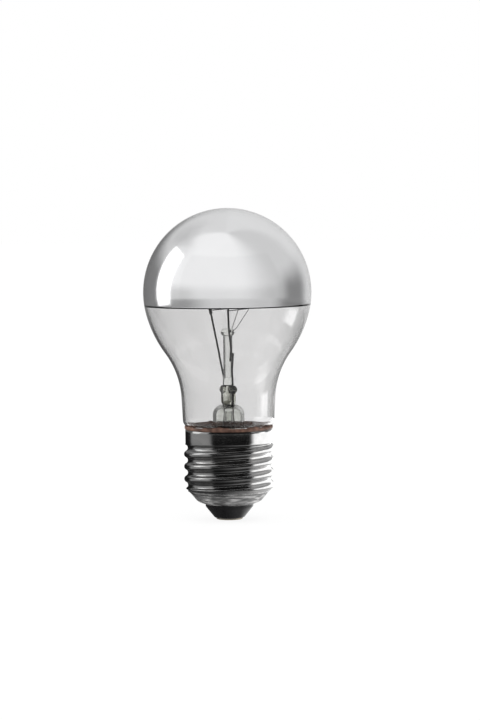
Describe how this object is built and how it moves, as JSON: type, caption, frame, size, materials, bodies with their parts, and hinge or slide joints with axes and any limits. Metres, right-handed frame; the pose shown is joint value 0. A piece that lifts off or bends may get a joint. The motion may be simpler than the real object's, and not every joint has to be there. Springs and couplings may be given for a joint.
{
  "type": "silver crown bulb",
  "caption": "Clear round filament bulb with a mirrored crown and a screw cap: the mirror hides the filament from the front and throws its light back past the cap.",
  "frame": {"origin": "centre of the flat face under the centre contact, on the axis of the bulb and its cap", "axes": "+Z along the bulb's axis from the cap to the crown, +X to the right and -Y to the front as the picture shows it"},
  "size_m": [0.049, 0.049, 0.0908],
  "materials": {
    "clear_glass": "clear blown glass",
    "crown_mirror": "silver mirror behind the glass",
    "cap_metal": "bright plated sheet with scuffs",
    "black_glass": "opaque black, glossy",
    "contact_metal": "dull metal",
    "solder": "dull solder",
    "cement": "dark red-brown baked cement",
    "stem_glass": "clear glass, a little green",
    "lead_metal": "grey drawn wire",
    "copper_wire": "copper-coloured wire",
    "support_metal": "thin bright wire",
    "tungsten": "fine coiled wire"
  },
  "bodies": {
    "root": {"glass_envelope": "clear_glass", "silver_crown": "crown_mirror", "screw_shell": "cap_metal", "insulator": "black_glass", "centre_contact": "contact_metal", "centre_solder": "solder", "cement_ring": "cement", "stem_flare": "stem_glass", "exhaust_tube": "stem_glass", "arbor_rod": "stem_glass", "lead_wire_left": "lead_metal", "lead_wire_right_upper": "lead_metal", "lead_wire_right_lower": "lead_metal", "seal_wire_left": "copper_wire", "seal_wire_right": "copper_wire", "outer_lead_centre": "copper_wire", "outer_lead_side": "copper_wire", "support_wire_back": "support_metal", "support_wire_right": "support_metal", "filament": "tungsten"}
  },
  "joints": []
}
